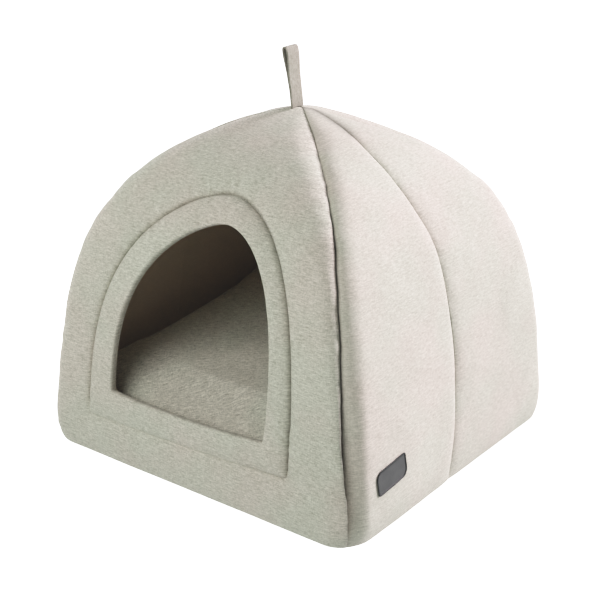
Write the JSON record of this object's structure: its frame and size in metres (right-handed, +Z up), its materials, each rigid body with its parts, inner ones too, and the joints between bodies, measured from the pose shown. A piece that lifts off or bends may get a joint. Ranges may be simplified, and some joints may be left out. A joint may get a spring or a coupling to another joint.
{
  "type": "padded fabric cat cave",
  "caption": "Domed cat cave of padded fabric walls with an arched doorway, quilted rim, loose cushion and a hanging loop at the peak.",
  "frame": {"origin": "on the floor, at the middle of the square foot and under the peak", "axes": "+Z up, the doorway faces -Y, +X towards the wall that carries the patch"},
  "size_m": [0.4123, 0.3946, 0.4271],
  "materials": {
    "wall_fabric": "matte woven linen look, fine cross ribs, heathered beige grey",
    "cushion_fabric": "the same matte woven cloth on a filled cushion",
    "base_fabric": "matte woven cloth, plain",
    "strap_fabric": "folded strap of the wall cloth",
    "patch_rubber": "matte dark grey with a raised border"
  },
  "bodies": {
    "root": {"front_wall": "wall_fabric", "right_wall_front": "wall_fabric", "right_wall_rear": "wall_fabric", "left_wall_front": "wall_fabric", "left_wall_rear": "wall_fabric", "back_wall": "wall_fabric", "base_panel": "base_fabric", "cushion": "cushion_fabric", "hanging_loop": "strap_fabric", "label_patch": "patch_rubber"}
  },
  "joints": []
}
